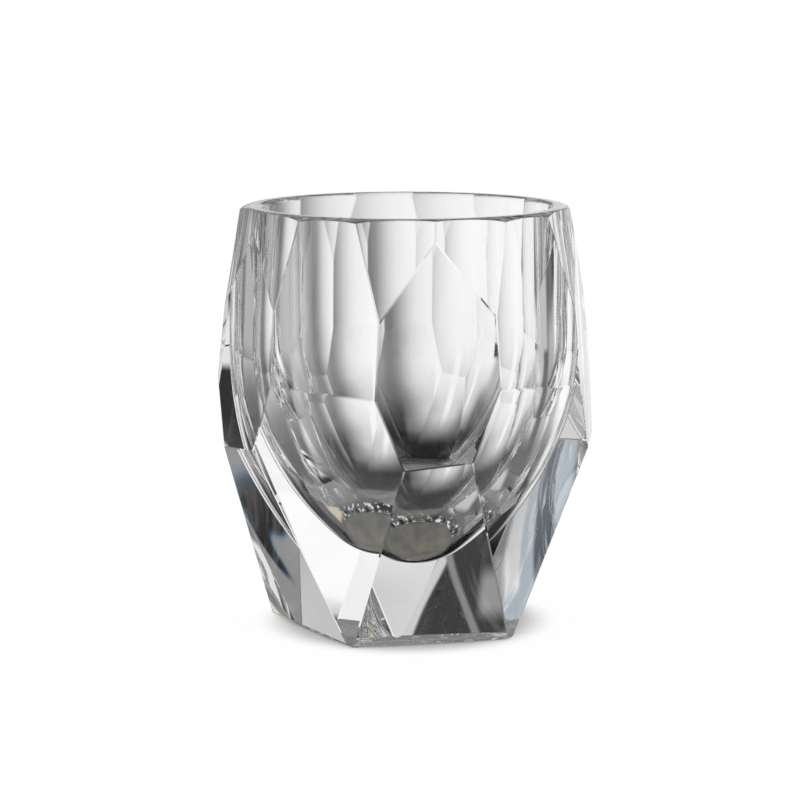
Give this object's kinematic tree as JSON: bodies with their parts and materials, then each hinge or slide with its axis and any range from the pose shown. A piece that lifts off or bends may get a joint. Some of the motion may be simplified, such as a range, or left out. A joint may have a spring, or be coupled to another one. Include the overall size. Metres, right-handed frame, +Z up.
{
  "type": "tumbler",
  "caption": "Clear acrylic drinking tumbler: a smooth rounded cup bonded into a thick jacket cut into flat facets that taper to a solid flat foot.",
  "frame": {"origin": "centre of the flat foot, on the table and on the axis of the cup", "axes": "+Z up along the axis of the cup, out of its mouth; -Y is the way that the first foot facet faces; +X follows by the right-hand rule"},
  "size_m": [0.0896, 0.0877, 0.1],
  "materials": {
    "clear_acrylic": "crystal-clear cast acrylic, polished on every facet and in the cup"
  },
  "bodies": {
    "root": {"inner_cup": "clear_acrylic", "faceted_jacket": "clear_acrylic"}
  },
  "joints": []
}
